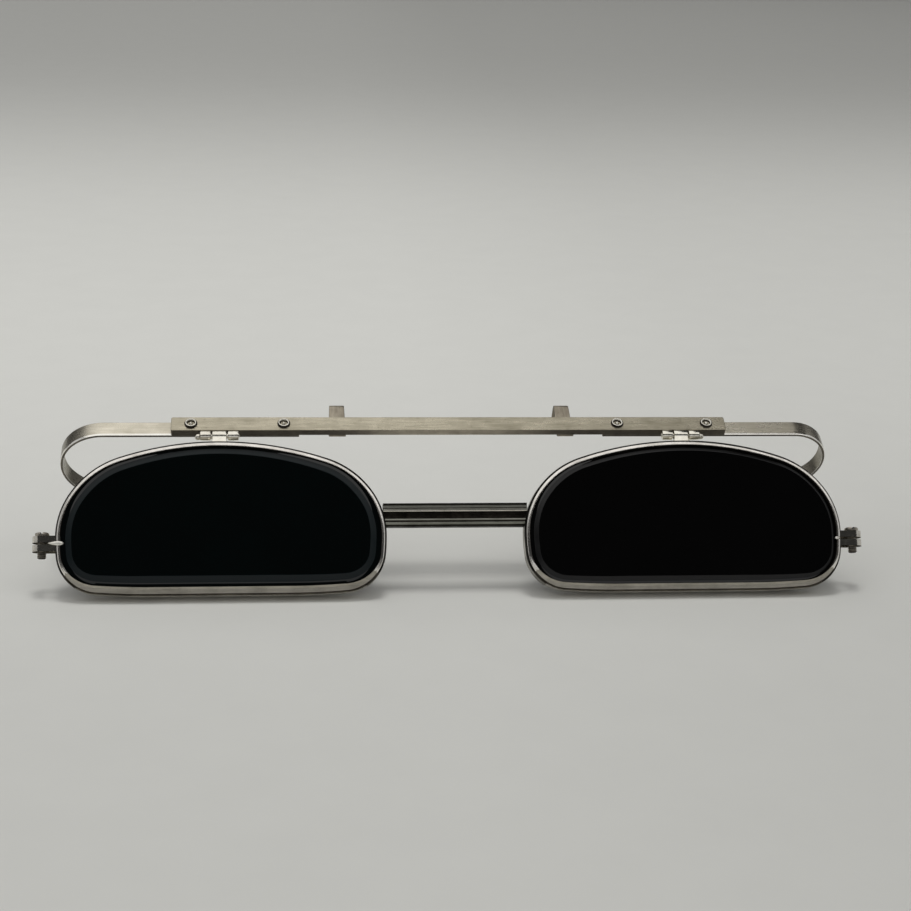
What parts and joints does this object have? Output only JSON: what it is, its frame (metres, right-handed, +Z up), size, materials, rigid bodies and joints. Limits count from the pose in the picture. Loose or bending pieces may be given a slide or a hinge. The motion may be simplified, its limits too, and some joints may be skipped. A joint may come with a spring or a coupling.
{
  "type": "flip-up clip-on welding glasses",
  "caption": "Flip-up clip-on shade: a riveted brow bar with spring arms and hooks, and a hinged pair of dark half-eye lenses in metal rims.",
  "frame": {"origin": "on the table, below the middle of the whole piece as it stands on the lower edges of the rims and the claws of the arms", "axes": "+X along the brow bar towards the lens that is on the right when the front is looked at, +Y from the front of the lenses to the back, +Z up"},
  "size_m": [0.134, 0.0306, 0.0255],
  "materials": {
    "bar_metal": "brushed nickel silver, warm and slightly tarnished",
    "spring_strip": "brushed nickel silver spring strip",
    "rim_metal": "polished nickel silver, tarnished in the corners",
    "bright_metal": "bright rivet heads and solder",
    "screw_steel": "darkened steel",
    "dark_glass": "very dark polished filter glass with a ground edge"
  },
  "bodies": {
    "brow_bar": {"top_bar": "bar_metal", "arm_left": "spring_strip", "arm_right": "spring_strip", "hook_left": "bar_metal", "hook_right": "bar_metal", "rivet_left_outer": "bright_metal", "rivet_left_inner": "bright_metal", "rivet_right_inner": "bright_metal", "rivet_right_outer": "bright_metal", "hinge_barrels_left": "bar_metal", "hinge_barrels_right": "bar_metal", "hinge_pin_left": "bright_metal", "hinge_pin_right": "bright_metal"},
    "lens_frame": {"hinge_tab_left": "rim_metal", "hinge_tab_right": "rim_metal", "rim_left": "rim_metal", "rim_right": "rim_metal", "lens_left": "dark_glass", "lens_right": "dark_glass", "bridge": "rim_metal", "ear_upper_left": "rim_metal", "ear_upper_right": "rim_metal", "ear_lower_left": "rim_metal", "ear_lower_right": "rim_metal", "screw_left": "screw_steel", "screw_right": "screw_steel"}
  },
  "joints": [
    {"name": "lens_flip", "type": "hinge", "parent": "brow_bar", "child": "lens_frame", "pos_m": [0, 0.00008, 0.02271], "axis": [1, 0, 0], "range_deg": [-45, 57]}
  ]
}
